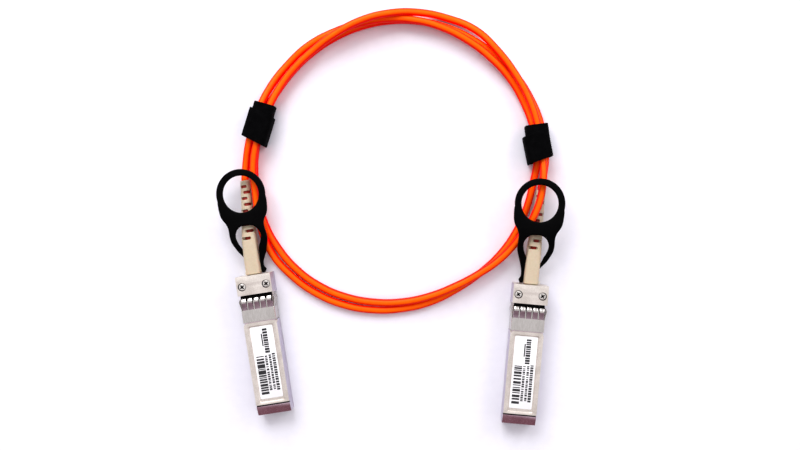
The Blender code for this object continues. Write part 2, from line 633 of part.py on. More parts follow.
def build_module(letter, spec, materials):
    place = empty(f"module_frame_{letter}")
    place.location = (spec["tail"][0] * MM, spec["tail"][1] * MM, 0)
    place.rotation_euler = (PITCH, 0, radians(spec["turn"]))
    slide = empty(f"tab_slide_{letter}", place)
    rock = empty(f"latch_axis_{letter}", place, (0, PIVOT_Y, PIVOT_Z))
    lower_housing(letter, place, materials)
    upper_cover(letter, place, materials)
    screw(f"screw_left_{letter}", -1, place, materials)
    screw(f"screw_right_{letter}", 1, place, materials)
    emi_collar(letter, place, materials)
    inner_pieces(letter, place, materials)
    latch(letter, place, slide, rock, materials)
    boot(letter, place, spec, materials)
    pull_tab(letter, slide, spec, materials)


def main():
    for item in list(bpy.data.objects):
        bpy.data.objects.remove(item, do_unlink=True)
    materials = make_materials()
    for letter, spec in MODULES.items():
        build_module(letter, spec, materials)
    cable(materials)
    for name, spec in TIES.items():
        tie(name, spec, materials)


main()
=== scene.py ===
"""Looks of the active optical cable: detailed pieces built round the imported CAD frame.

Lengths are written in millimetres in each piece's own frame and scaled to metres when the piece is made.
A module's frame has +Y from its tail to its pull tab, +X to the right and z = 0 at the body's underside.
Sizes that part.py also has are repeated here. Some differ from it by a millimetre or so, where the photograph
asks for it.
"""
from math import asin, cos, pi, radians, sin, sqrt
from random import Random

import bmesh
import bpy
from mathutils import Matrix, Vector


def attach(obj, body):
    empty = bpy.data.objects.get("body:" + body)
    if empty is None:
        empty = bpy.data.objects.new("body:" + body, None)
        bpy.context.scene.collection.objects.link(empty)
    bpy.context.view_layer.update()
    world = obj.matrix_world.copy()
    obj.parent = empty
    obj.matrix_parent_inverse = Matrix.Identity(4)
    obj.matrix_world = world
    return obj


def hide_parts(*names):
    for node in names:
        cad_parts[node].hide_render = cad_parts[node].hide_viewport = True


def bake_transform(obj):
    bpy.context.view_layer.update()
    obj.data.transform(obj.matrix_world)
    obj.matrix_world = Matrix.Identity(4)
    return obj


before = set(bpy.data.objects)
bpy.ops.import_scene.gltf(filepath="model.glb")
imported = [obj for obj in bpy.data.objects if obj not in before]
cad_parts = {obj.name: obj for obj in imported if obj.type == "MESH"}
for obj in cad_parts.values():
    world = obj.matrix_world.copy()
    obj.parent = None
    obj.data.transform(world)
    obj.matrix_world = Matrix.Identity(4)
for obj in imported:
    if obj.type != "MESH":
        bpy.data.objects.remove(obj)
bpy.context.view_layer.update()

MM = 0.001
ADD, CUT = "UNION", "DIFFERENCE"

# Module body
BODY_LENGTH = 56.5
BODY_HALF_WIDTH = 6.7
BODY_HEIGHT = 8.5
FLANK = 6.62                   # faces further out than this are the body's sides, which get painted shade and a painted reflection of the table
TUB_TOP = 6.2
LID_BOTTOM = 6.5
SEAT_HALF_WIDTH = 6.15         # the body where it steps in for the spring collar
SEAT_BOTTOM = 0.55
SEAT_TOP = 7.95
CAVITY_HALF_WIDTH = 5.55
TAIL_OPENING = 10.4            # length of the opening under the edge connector
TAIL_RAMP = 3.8
HEAD_START = 48.5
LID_HEAD_START = 48.85         # the head's upper half starts a little further ahead
HEAD_HALF_WIDTH = 7.05
HEAD_BOTTOM = -0.9
HEAD_TOP = 8.8
HEAD_SPLIT = (4.45, 4.75)      # top of the head's lower half, bottom of its upper half
BEYOND_HEAD = 58.0             # where cuts through the head's front face end
BORE_RADIUS = 2.4
SCREW_X = 4.85
SCREW_Y = 52.35
SCREWS = {"screw_left": -1, "screw_right": 1}

# Spring collar
SHEET = 0.3
COLLAR_HALF_WIDTH = 6.75
COLLAR_BOTTOM = -0.05
COLLAR_TOP = 8.55
COLLAR_MIDDLE = 4.25
FINGER_ROOT = 43.1
FINGER_PITCH = 2.56
FINGER_HALF_SHEET = 0.12
FINGER_LINE = [(-0.6, 0.0), (0.1, 0.0), (1.2, 0.18), (2.6, 0.50), (3.1, 0.55), (3.6, 0.42), (4.1, 0.1),
               (4.4, -0.12)]
WALL_LEVELS = {"top": 8.55, "left": 6.75, "bottom": 0.05, "right": 6.75}

# Label and board
LABEL_HALF_WIDTH = 4.6
LABEL_START = 6.5
LABEL_END = 35.75
LABEL_FACE = 8.0
RECESS_START = 5.4
RECESS_END = 35.95
BOARD_BOTTOM = 2.25
BOARD_TOP = 3.25
CONTACT_PITCH = 0.8
CONTACT_HALF_WIDTH = 0.27
LONG_CONTACTS = (0, 3, 6, 9)

# Cable and boot
CABLE_HEIGHT = 4.6             # height of the cable's axis inside the module
CABLE_RADIUS = 1.5
CABLE_INNER_END = 50.6
BOOT_START = 56.8
BOOT_LENGTH = 38.0
BOOT_BEND_END = 21.0           # the boot bends over this first stretch, then runs straight
BOOT_DROOP = 0.11
BOOT_KNOTS = (0, 13, 26, BOOT_LENGTH)
BOOT_NECK_RADIUS = 2.15
BOOT_BORE_RADIUS = 1.72
BOOT_ROUND_FROM = 24           # its section is square at the base and round from here on
# radii of the dark tube inside the boot that paints the shade seen through its windows
WINDOW_SHADE_RADII = (1.69, 1.6)
WINDOWS = 9
WINDOW_FIRST = 14.6
WINDOW_PITCH = 2.9
WINDOW_CLOSING = 0.036         # how the pitch shrinks towards the tip
WINDOW_HALF_WIDTH = 0.6
WINDOW_REACH = (1.2, 4.6)      # the cut runs between these distances from the boot's axis
WALL_RADIUS = 2.3              # of the wall's middle, for the length of a window's round ends

# Pull tab
RING_CENTRE = 32.8             # ahead of the head's front face
RING_RADIUS = 10.05
RING_HOLE = 7.45
TAB_HALF_THICKNESS = 1.0
TAB_EDGE = 0.55                # radius of its rounded edges
TAB_FOOT_HEIGHT = 2.8
TAB_RISE_START = 1.0
ARM_MIDDLE = 3.1               # an arm's middle line near the head, and how far it moves out beyond
ARM_SPREAD = 2.8
TUCK_THINNING = 0.4            # of the tucked arm, as a share
TUCK_DROP = 1.65

# Stretches ahead of the head over which the tab's arms and ring change shape
SPREAD_STRETCH = (6.5, 17)
SWELL_IN = (0, 2)
SWELL_OUT = (8, 17)
LEAN_IN = (3, 9)
TUCK_OUT = (5.5, 10.5)
RING_IN = (15, 22)
WAIST = -12.5                  # where the arms part, from the ring's centre

# Camera, in metres: straight above the table, its picture shifted to frame the loop
CAMERA_PLACE = (0.0163, 0.0281, 0.360)
CAMERA_LENS = 39.375
CAMERA_SENSOR = 36.0
CAMERA_SHIFT = (-0.0375, 0.00375)

# Table, backdrop and lights: the backdrop darkens towards the viewer's side; lights are placed in metres
TABLE_REACH = 1500
TABLE_THICKNESS = 4
BACKDROP_DARK = (0.30, 0.17, 0.19)
BACKDROP_BRIGHT = (0.99, 0.98, 1.0)
BACKDROP_EDGE = (-0.70, -0.34)
BACKDROP_STRENGTH = 0.80
LIGHTS = {
    "key": {"place": (-0.20, 0.60, 0.50), "size": 0.5, "power": 4.2},
    "fill": {"place": (0.50, 0.42, 0.42), "size": 0.35, "power": 1.3},
}
LIT_POINT = (0, 0.02, 0)

# Where each module lies, as in the CAD, then how its boot and its pull tab lie. Near the head one arm of
# the tab is tucked beside the boot: it is moved in and down, and the other arm is swollen.
MODULES = {
    "a": {"tail": (-46.23, -46.46), "turn": 8.8, "boot_sway": 0.0612, "ring_height": 7.3, "rise": 19.0,
          "tab_lean": 0.5, "ring_lean": 0.27, "ring_width": 0.973, "arm_swell": 0.6, "tucked_side": -1,
          "tuck": 0.8, "label_seed": 5},
    "b": {"tail": (51.97, -50.90), "turn": -5.1, "boot_sway": 0.0430, "ring_height": 9.35, "rise": 22.0,
          "tab_lean": 0.45, "ring_lean": 0.3, "ring_width": 1.0, "arm_swell": 0.5, "tucked_side": 1,
          "tuck": 1.1, "label_seed": 11},
}
PITCH = asin(-HEAD_BOTTOM / HEAD_START)

# The cable's route, copied from the CAD: angle about the loop's centre, radius and height of its axis.
# The angle is measured anticlockwise from +X and falls along the route, which runs clockwise from above.
LOOP_CENTRE = (2.22, 55.07)
LOOP_STEP = 11.25              # degrees between the curve's knots
LOOP_FIRST = 171.4 + LOOP_STEP
LOOP_ROUTE = [
    # first turn: out of boot A, through the left tie, under the second turn at the top
    (184, 61.4, 2.7), (180, 60.9, 2.6), (175, 60.2, 3.4), (171.4, 59.8, 4.9), (166, 59.3, 5.5),
    (160, 59.2, 5.3), (155, 59.3, 4.4), (148, 59.5, 2.8), (140, 59.5, 1.6), (130, 59.4, 2.6),
    (120, 58.7, 4.2), (111, 57.9, 4.9), (102, 57.9, 5.0), (88, 58.0, 5.0), (75, 57.8, 4.9),
    (64, 57.5, 4.6), (55, 57.35, 4.2), (47, 57.4, 3.9), (37, 57.75, 3.0), (28, 57.85, 1.8),
    (14, 57.9, 2.6), (2.6, 58.0, 2.6), (-8, 56.95, 2.0), (-14, 56.75, 1.6), (-22, 56.85, 1.6),
    (-34, 57.0, 1.6), (-47, 57.1, 1.6), (-60, 57.2, 1.6), (-72, 58.6, 1.6), (-85, 59.8, 1.6),
    (-100, 61.3, 1.6), (-115, 62.5, 1.6), (-130, 63.0, 1.6), (-145, 62.8, 1.9), (-151, 61.7, 3.6),
    (-154, 60.9, 4.4),
    # second turn: beside boot A, over the first turn at the top, over boot B and the first again
    (-157, 60.1, 4.8), (-160, 59.3, 4.9), (-163, 58.7, 5.0), (-166, 58.3, 5.0), (-171, 57.9, 5.1),
    (-177, 57.7, 5.1), (-180, 57.6, 5.1),
    (-185, 57.1, 5.4), (-190, 56.4, 5.75), (-195, 55.8, 5.75), (-200, 55.7, 5.6), (-212, 55.7, 5.1),
    (-230, 55.9, 5.1), (-240, 56.2, 6.6), (-249, 57.2, 8.1), (-257, 58.2, 8.4), (-265, 59.1, 8.2),
    (-272, 60.3, 7.3), (-280, 61.5, 4.0), (-290, 62.6, 1.7), (-300, 63.0, 2.7), (-306, 62.6, 3.6),
    (-312, 61.4, 4.8), (-318, 60.5, 5.2), (-330, 60.0, 5.6), (-346, 59.5, 5.7), (-357.4, 59.6, 5.7),
    (-367, 60.2, 7.5), (-376, 60.3, 7.9), (-384, 60.0, 7.75), (-392, 59.0, 5.6), (-400, 58.4, 4.8),
    (-410, 57.1, 5.0), (-421, 56.2, 4.9), (-432, 56.3, 4.3), (-445, 57.0, 3.7), (-460, 58.0, 2.6),
    (-475, 59.1, 1.7), (-490, 59.7, 1.6), (-505, 59.5, 1.6), (-514, 59.2, 1.6),
    # third turn: under the second beside boot A, lowest in both ties, along the table, into boot B
    (-520, 58.8, 1.6), (-526, 58.3, 1.6), (-532, 58.0, 1.6), (-537, 57.8, 1.6),
    (-541, 57.5, 1.65), (-548.6, 57.2, 2.3), (-560, 57.4, 2.3), (-565, 57.0, 1.9), (-572, 56.3, 1.6),
    (-590, 56.3, 1.6), (-608, 56.9, 1.6), (-622, 57.7, 1.6), (-640, 58.5, 1.6), (-657, 59.1, 1.6),
    (-668, 59.5, 1.6), (-680, 60.4, 1.6), (-690, 60.9, 1.7), (-706, 61.3, 2.6), (-717.4, 61.3, 2.7),
]

# Where the ties hold the loop, and the narrow inner and wide outer wrap of each strap: its sides, its
# lowest and highest level, the thickness of sole, sides and top, its edges along the cable and their slants
TIES = {
    "left": {"angle": 165.8, "radius": 57.5, "turn": -17.0, "wraps": [
        {"sides": (-4.1, 4.5), "levels": (0.42, 8.35), "thickness": (0.36, 0.6, 0.5), "edges": (-4.5, 9.7),
         "slants": (-0.1, 0.02)},
        {"sides": (-5.0, 5.3), "levels": (0.0, 8.9), "thickness": (0.38, 0.7, 0.5), "edges": (-6.1, 6.0),
         "slants": (-0.17, -0.15)},
    ]},
    "right": {"angle": 6.6, "radius": 59.2, "turn": 7.8, "wraps": [
        {"sides": (-5.2, 4.1), "levels": (0.42, 8.35), "thickness": (0.36, 0.4, 0.5), "edges": (-3.6, 8.2),
         "slants": (0.06, 0.0)},
        {"sides": (-6.4, 4.05), "levels": (0.0, 8.9), "thickness": (0.38, 0.4, 0.5), "edges": (-6.1, 5.4),
         "slants": (0.22, 0.25), "ribs": 0.2, "steps": 84, "lean": -0.06},
    ]},
}
STRAP_CORNERS = (2.0, 1.5)     # corner radii outside and inside
STRAP_RIB_PITCH = 0.83
STRAP_RIM = {0.0: 1.0, 0.012: 0.35, 0.988: 0.35, 1.0: 1.0}   # share along it, and how far its rim is thinned


# ---------------------------------------------------------------- mesh helpers

def box(bm, x, y, z):
    """A box between pairs of coordinates."""
    centre = Vector(((x[0] + x[1]) / 2, (y[0] + y[1]) / 2, (z[0] + z[1]) / 2))
    size = (x[1] - x[0], y[1] - y[0], z[1] - z[0])
    matrix = Matrix.Translation(centre) @ Matrix.Diagonal((*size, 1.0))
    bmesh.ops.create_cube(bm, size=1.0, matrix=matrix)


def loft(bm, rings, capped=True):
    """Walls between successive closed rings of points, and a face over each end ring."""
    loops = [[bm.verts.new(point) for point in ring] for ring in rings]
    count = len(rings[0])
    for low, high in zip(loops, loops[1:]):
        for i in range(count):
            j = (i + 1) % count
            bm.faces.new((low[i], low[j], high[j], high[i]))
    if capped:
        bm.faces.new(list(reversed(loops[0])))
        bm.faces.new(loops[-1])
    return loops


def shell(bm, outer, inner):
    """A tube with its own outer and inner rings, closed by a flat band at each end."""
    outer_loops = loft(bm, outer, capped=False)
    inner_loops = loft(bm, [list(reversed(ring)) for ring in inner], capped=False)
    count = len(outer[0])
    for end in (0, -1):
        out, into = outer_loops[end], list(reversed(inner_loops[end]))
        for i in range(count):
            j = (i + 1) % count
            face = (out[j], out[i], into[i], into[j])
            bm.faces.new(face if end == 0 else tuple(reversed(face)))


def on_axis(axis, a, b, level):
    """A point from two coordinates across an axis and a level along it."""
    return {"x": (level, a, b), "y": (a, level, b), "z": (a, b, level)}[axis]


def prism(bm, outline, axis, low, high):
    """An outline of points in the plane across an axis, extruded along that axis."""
    loft(bm, [[on_axis(axis, a, b, level) for a, b in outline] for level in (low, high)])


def circle(centre, radius, axis, level, count):
    """A ring of points about an axis, at a level along it."""
    points = []
    for i in range(count):
        angle = 2 * pi * (i + 0.5) / count
        a, b = centre[0] + radius * cos(angle), centre[1] + radius * sin(angle)
        points.append(on_axis(axis, a, b, level))
    return points


def rounded(low, high, radius, steps=4):
    """A rectangle from corner low to corner high with round corners, anticlockwise."""
    corners = [(high[0], high[1], 0), (low[0], high[1], 90), (low[0], low[1], 180), (high[0], low[1], 270)]
    points = []
    for a, b, start in corners:
        ca = a - radius if a == high[0] else a + radius
        cb = b - radius if b == high[1] else b + radius
        for i in range(steps + 1):
            angle = radians(start + 90 * i / steps)
            points.append((ca + radius * cos(angle), cb + radius * sin(angle)))
    return points


def catmull(values, i, share):
    """Smooth value between points i and i + 1 of a list."""
    p0, p1 = values[max(i - 1, 0)], values[i]
    p2, p3 = values[i + 1], values[min(i + 2, len(values) - 1)]
    return 0.5 * (2 * p1 + (p2 - p0) * share + (2 * p0 - 5 * p1 + 4 * p2 - p3) * share ** 2
                  + (3 * p1 - p0 - 3 * p2 + p3) * share ** 3)


def smooth(points, steps):
    """Points of a smooth line through a list of points, without the last one."""
    result = []
    axes = list(zip(*points))
    for i in range(len(points) - 1):
        for k in range(steps):
            result.append(tuple(catmull(values, i, k / steps) for values in axes))
    return result


def ease(value, low, high):
    """Smooth step from 0 at low to 1 at high."""
    share = min(1.0, max(0.0, (value - low) / (high - low)))
    return share * share * (3 - 2 * share)


# ---------------------------------------------------------------- solids and pieces
# A draw is a function that adds a closed solid to a bmesh.

def block(half_width, y, z):
    """A draw of a box that reaches as far to the left as to the right."""
    return lambda bm: box(bm, (-half_width, half_width), y, z)


def rod(centre, radius, axis, low, high, count=32):
    """A draw of a cylinder."""
    return lambda bm: loft(bm, [circle(centre, radius, axis, level, count) for level in (low, high)])


def drawn(draw):
    """A mesh of what a draw adds."""
    bm = bmesh.new()
    draw(bm)
    bmesh.ops.recalc_face_normals(bm, faces=bm.faces)
    mesh = bpy.data.meshes.new("drawn")
    bm.to_mesh(mesh)
    bm.free()
    return mesh


def linked(name, data):
    """A new object in the scene."""
    item = bpy.data.objects.new(name, data)
    bpy.context.scene.collection.objects.link(item)
    return item


def evaluated_mesh(item):
    """A mesh of an object as its modifiers leave it."""
    graph = bpy.context.evaluated_depsgraph_get()
    return bpy.data.meshes.new_from_object(item.evaluated_get(graph))


def soften(item, width, angle, weld):
    """Merge an object's close vertices, then bevel its edges that are sharper than an angle."""
    item.modifiers.new("weld", "WELD").merge_threshold = weld
    if width:
        edge = item.modifiers.new("edge", "BEVEL")
        edge.limit_method = "ANGLE"
        edge.angle_limit = radians(angle)
        edge.width = width
        edge.segments = 2


def carve(base, steps=(), bevel=0.12, angle=32.0):
    """A draw's mesh after other draws are added to it or cut from it, and its hard edges bevelled."""
    target = linked("work", drawn(base))
    tools = []
    for operation, draw in steps:
        tools.append(linked("work", drawn(draw)))
        step = target.modifiers.new("step", "BOOLEAN")
        step.operation = operation
        step.solver = "EXACT"
        step.object = tools[-1]
    soften(target, bevel, angle, weld=0.004)
    mesh = evaluated_mesh(target)
    for item in [target, *tools]:
        bpy.data.objects.remove(item, do_unlink=True)
    return mesh


def piece(name, mesh, finishes, body, matrix, stands_for=(), crease=35.0):
    """A named piece of the visual model, from a mesh in millimetres."""
    mesh.name = name
    mesh.transform(Matrix.Scale(MM, 4))
    mesh.materials.clear()
    for finish in finishes:
        mesh.materials.append(FINISH[finish])
    mesh.shade_smooth()
    mesh.set_sharp_from_angle(angle=radians(crease))
    made = linked(name, mesh)
    made.matrix_world = matrix
    if body:
        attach(made, body)
    if stands_for:
        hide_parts(*stands_for)
    return made


def shade_faces(made, finish, inside):
    """Give one of a piece's finishes to the faces whose centre, in millimetres, passes a test."""
    index = made.data.materials.find(FINISH[finish].name)
    for face in made.data.polygons:
        if inside(face.center / MM):
            face.material_index = index


# ---------------------------------------------------------------- materials

GRAIN_SHARE = 0.55             # what grain and patches add to the mix of a finish's two tones
PATCH_SHARE = 0.45
TONE_STOPS = (0.38, 0.62)
LEAST_ROUGH = 0.03


def add_node(made, kind, inputs=(), **settings):
    """A node of a material or world, with values for some of its inputs and settings."""
    node = made.node_tree.nodes.new(f"ShaderNode{kind}")
    for name, value in settings.items():
        setattr(node, name, value)
    for socket, value in dict(inputs).items():
        node.inputs[socket].default_value = value
    return node


def material(name, colour, other, roughness, spread=0.08, metallic=0.0, grain=2500.0, patch=300.0,
             bump=0.0, stretch=(1, 1, 1), **sockets):
    """A procedural finish: two tones mixed by patches and grain, uneven roughness and a grainy bump."""
    made = bpy.data.materials.new(name)
    made.use_nodes = True
    join = made.node_tree.links.new
    shader = made.node_tree.nodes["Principled BSDF"]
    shader.inputs["Metallic"].default_value = metallic
    for socket, value in sockets.items():
        shader.inputs[socket.replace("_", " ")].default_value = value
    place = add_node(made, "TexCoord")
    mapping = add_node(made, "Mapping", {"Scale": stretch})
    join(place.outputs["Object"], mapping.inputs["Vector"])
    fine = add_node(made, "TexNoise", {"Scale": grain, "Detail": 3.0})
    broad = add_node(made, "TexNoise", {"Scale": patch, "Detail": 2.0})
    for noise in (fine, broad):
        join(mapping.outputs["Vector"], noise.inputs["Vector"])
    both = add_node(made, "Math", {1: GRAIN_SHARE}, operation="MULTIPLY_ADD")
    patches = add_node(made, "Math", {1: PATCH_SHARE}, operation="MULTIPLY")
    join(fine.outputs["Fac"], both.inputs[0])
    join(broad.outputs["Fac"], patches.inputs[0])
    join(patches.outputs[0], both.inputs[2])
    tones = add_node(made, "ValToRGB")
    for stop, position, tone in zip(tones.color_ramp.elements, TONE_STOPS, (other, colour)):
        stop.position = position
        stop.color = (*tone, 1)
    join(both.outputs[0], tones.inputs["Fac"])
    join(tones.outputs["Color"], shader.inputs["Base Color"])
    least, most = max(LEAST_ROUGH, roughness - spread), min(1.0, roughness + spread)
    uneven = add_node(made, "MapRange", {"To Min": least, "To Max": most})
    join(broad.outputs["Fac"], uneven.inputs["Value"])
    join(uneven.outputs["Result"], shader.inputs["Roughness"])
    if bump:
        relief = add_node(made, "Bump", {"Strength": 1.0, "Distance": bump * MM})
        join(fine.outputs["Fac"], relief.inputs["Height"])
        join(relief.outputs["Normal"], shader.inputs["Normal"])
    return made


def paint_side_shade(made, side_shade_colour, facing_range):
    """Painted shade: mix a deeper colour into a finish where the surface turns away from straight up."""
    join = made.node_tree.links.new
    base = made.node_tree.nodes["Principled BSDF"].inputs["Base Color"]
    top = base.links[0].from_socket
    low, high = facing_range
    place = add_node(made, "TexCoord")
    split = add_node(made, "SeparateXYZ")
    facing = add_node(made, "MapRange", {"From Min": low, "From Max": high}, interpolation_type="SMOOTHSTEP")
    mix = add_node(made, "MixRGB", {"Color1": (*side_shade_colour, 1)})
    join(place.outputs["Normal"], split.inputs[0])
    join(split.outputs["Z"], facing.inputs["Value"])
    join(facing.outputs["Result"], mix.inputs["Fac"])
    join(top, mix.inputs["Color2"])
    join(mix.outputs["Color"], base)


# Each finish: its material's name, its two tones, its roughness, and what departs from the defaults
FINISH = {
    # metals
    "die_cast": material("cast_nickel", (0.84, 0.78, 0.73), (0.66, 0.60, 0.55), 0.42, metallic=1.0,
                         grain=2600, patch=260, bump=0.04),
    # darker lavender copy of the metal for the body's sides: painted shade and a painted reflection of the
    # pale table
    "flank": material("flank_painted_reflection", (0.60, 0.56, 0.64), (0.50, 0.46, 0.55), 0.38, metallic=1.0,
                      grain=2600, patch=260, bump=0.03),
    # smooth nickel for the tail ramp and the seat under the collar; its pink tint is a painted reflection of
    # the dark reddish surroundings
    "ramp": material("polished_nickel_painted_reflection", (0.76, 0.62, 0.70), (0.62, 0.50, 0.57), 0.22, metallic=1.0,
                     grain=1400, patch=200, bump=0.004),
    # near black: painted shade for the groove, the gap behind the head, the screws' wells and their cross
    # recesses
    "recess": material("recess_shade", (0.012, 0.010, 0.010), (0.03, 0.026, 0.026), 0.7, grain=2000,
                       patch=300, bump=0.01, Specular_IOR_Level=0.2),
    "sheet": material("spring_sheet", (0.60, 0.57, 0.55), (0.53, 0.50, 0.48), 0.24, metallic=1.0,
                      grain=1800, patch=220, bump=0.004, stretch=(1, 0.25, 1)),
    # darker maroon copy of the spring sheet: painted shade, a dark reflection, on the finger slopes that face
    # the tail
    "slope": material("sheet_painted_dark_reflection", (0.40, 0.30, 0.34), (0.32, 0.24, 0.28), 0.28, metallic=1.0,
                      grain=1800, patch=220, bump=0.004),
    "steel": material("plated_steel", (0.84, 0.80, 0.76), (0.74, 0.70, 0.67), 0.3, metallic=1.0,
                      grain=2200, patch=400, bump=0.006),
    "gold": material("gold_contact", (0.95, 0.68, 0.26), (0.85, 0.58, 0.2), 0.25, metallic=1.0,
                     grain=3000, patch=500, bump=0.003),
    # label, board and optics
    "label": material("label_film", (0.88, 0.88, 0.90), (0.85, 0.85, 0.87), 0.45, grain=3000, patch=150,
                      bump=0.002),
    "ink": material("label_ink", (0.012, 0.012, 0.014), (0.03, 0.03, 0.034), 0.5, grain=5000, patch=700),
    "board": material("solder_mask", (0.015, 0.10, 0.045), (0.02, 0.14, 0.06), 0.35, grain=1500,
                      patch=350, bump=0.01, Coat_Weight=0.4),
    "chip": material("moulded_chip", (0.02, 0.02, 0.022), (0.035, 0.035, 0.037), 0.55, grain=5000,
                     patch=600, bump=0.01),
    "lens": material("amber_optic", (0.72, 0.55, 0.2), (0.66, 0.48, 0.15), 0.15, grain=800, patch=120,
                     Transmission_Weight=0.35),
    "fibre": material("fibre_ribbon", (0.75, 0.82, 0.86), (0.6, 0.7, 0.76), 0.25, grain=900, patch=200,
                      stretch=(6, 0.3, 6)),
    "pad": material("gap_filler", (0.42, 0.48, 0.58), (0.36, 0.41, 0.5), 0.85, grain=1500, patch=300,
                    bump=0.03),
    # rubber, jacket and strap
    "boot": material("boot_rubber", (0.56, 0.465, 0.345), (0.52, 0.43, 0.31), 0.52, grain=1200, patch=140,
                     bump=0.012, Subsurface_Weight=0.12, Subsurface_Scale=0.001),
    # dark red: painted shade seen through the boot's windows, put on a thin tube round the cable
    "sleeve": material("boot_window_shade", (0.32, 0.02, 0.008), (0.2, 0.012, 0.005), 0.6, grain=1500,
                       patch=300, bump=0.02),
    "tab": material("tab_rubber", (0.0012, 0.0012, 0.0014), (0.0025, 0.0025, 0.0028), 0.6, grain=2200,
                    patch=200, bump=0.012, Specular_IOR_Level=0.05),
    "cable": material("cable_jacket", (1.0, 0.15, 0.0), (1.0, 0.12, 0.0), 0.38, spread=0.05, grain=1600,
                      patch=120, bump=0.006, Specular_IOR_Level=0.12),
    "tie": material("hook_and_loop", (0.0012, 0.0012, 0.0015), (0.003, 0.003, 0.0035), 0.92, grain=2600,
                    patch=500, bump=0.16, Specular_IOR_Level=0.06),
}
# painted shade: the jacket's colour turns deep red on its sides
paint_side_shade(FINISH["cable"], (0.95, 0.004, 0.0), facing_range=(0.6, 1.0))


# ---------------------------------------------------------------- camera and cable

def make_camera():
    """A camera that looks straight down."""
    camera = bpy.data.cameras.new("camera")
    camera.lens = CAMERA_LENS
    camera.sensor_width = CAMERA_SENSOR
    camera.shift_x, camera.shift_y = CAMERA_SHIFT
    camera.clip_start = 0.01
    item = linked("camera", camera)
    item.location = CAMERA_PLACE
    bpy.context.scene.camera = item


def module_matrix(spec):
    """Place of a module, in metres."""
    x, y = spec["tail"]
    turn = Matrix.Rotation(radians(spec["turn"]), 4, "Z") @ Matrix.Rotation(PITCH, 4, "X")
    return Matrix.Translation((x * MM, y * MM, 0)) @ turn


def boot_axis(along, spec):
    """Centre of the boot at a distance ahead of its base, in the module's frame."""
    bend = BOOT_BEND_END
    shift = along * along / (2 * bend) if along < bend else along - bend / 2
    if along <= 0:
        shift = 0.0
    return Vector((spec["boot_sway"] * shift, BOOT_START + along, CABLE_HEIGHT - BOOT_DROOP * shift))


def loop_point(angle):
    """Point of the cable's axis at an angle of the loop, in metres."""
    angles = [row[0] for row in LOOP_ROUTE]
    i = max(k for k in range(len(angles) - 1) if angles[k] >= angle)
    share = (angle - angles[i]) / (angles[i + 1] - angles[i])
    radius = catmull([row[1] for row in LOOP_ROUTE], i, share)
    height = catmull([row[2] for row in LOOP_ROUTE], i, share)
    turn = radians(angle)
    return Vector((LOOP_CENTRE[0] + radius * cos(turn), LOOP_CENTRE[1] + radius * sin(turn), height)) * MM


def cable_points():
    """Points of the cable's axis: inside one module and its boot, round the loop, inside the other."""
    ends = {}
    for letter, spec in MODULES.items():
        matrix = module_matrix(spec)
        points = [Vector((0, CABLE_INNER_END, CABLE_HEIGHT))] + [boot_axis(s, spec) for s in BOOT_KNOTS]
        ends[letter] = [matrix @ (point * MM) for point in points]
    points = ends["a"]
    angle = LOOP_FIRST
    while angle > LOOP_ROUTE[-1][0]:
        points.append(loop_point(angle))
        angle -= LOOP_STEP
    return points + ends["b"][::-1]


def make_cable():
    """The fibre cable: one smooth round line."""
    points = cable_points()
    curve = bpy.data.curves.new("fibre_cable", "CURVE")
    curve.dimensions = "3D"
    curve.bevel_depth = CABLE_RADIUS * MM
    curve.bevel_resolution = 8
    curve.resolution_u = 8
    curve.use_fill_caps = True
    line = curve.splines.new("BEZIER")
    line.bezier_points.add(len(points) - 1)
    for knot, point in zip(line.bezier_points, points):
        knot.co = point
        knot.handle_left_type = knot.handle_right_type = "AUTO"
    curve.materials.append(FINISH["cable"])
    item = linked("fibre_cable", curve)
    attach(item, "root")
    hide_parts("cable")


# ---------------------------------------------------------------- strap ties

def strap_wrap(bm, sides, levels, thickness, edges, slants, ribs=0.0, steps=10, lean=0.0):
    """One wrap of strap. slants say how its edges run across, lean how its sides run along the cable."""
    left, right = sides
    low, high = levels
    sole, side, top = thickness
    near, far = edges
    outer_line = rounded((left, low), (right, high), STRAP_CORNERS[0], 5)
    inner_line = rounded((left + side, low + sole), (right - side, high - top), STRAP_CORNERS[1], 5)
    length = far - near
    rows = [0.0, 0.012, 0.04] + [0.04 + 0.92 * k / steps for k in range(1, steps)] + [0.96, 0.988, 1.0]
    outer, inner = [], []
    for row in rows:
        share = 0.22 * STRAP_RIM.get(row, 0.0)
        ring_out, ring_in = [], []
        for (xo, zo), (xi, zi) in zip(outer_line, inner_line):
            y = near + slants[0] * xo + row * (length + (slants[1] - slants[0]) * xo)
            on_ribs = xo > right * 0.6
            ridge = ribs * max(0.0, sin(2 * pi * row * length / STRAP_RIB_PITCH)) if on_ribs else 0.0
            aside = lean * y
            ring_out.append((xo + (xi - xo) * share + ridge + aside, y, zo + (zi - zo) * share))
            ring_in.append((xi + (xo - xi) * share + aside, y, zi + (zo - zi) * share))
        outer.append(ring_out)
        inner.append(ring_in)
    shell(bm, outer, inner)


def make_tie(name, spec):
    """Hook-and-loop strap: a narrow inner wrap that shows past a wider, slightly skewed outer one."""
    def draw(bm):
        for wrap in spec["wraps"]:
            strap_wrap(bm, **wrap)

    angle = radians(spec["angle"])
    x = LOOP_CENTRE[0] + spec["radius"] * cos(angle)
    y = LOOP_CENTRE[1] + spec["radius"] * sin(angle)
    matrix = Matrix.Translation((x * MM, y * MM, 0)) @ Matrix.Rotation(radians(spec["turn"]), 4, "Z")
    return piece(f"strap_{name}", drawn(draw), ["tie"], "root", matrix, [f"tie_{name}"], 50)


# ---------------------------------------------------------------- metal shells

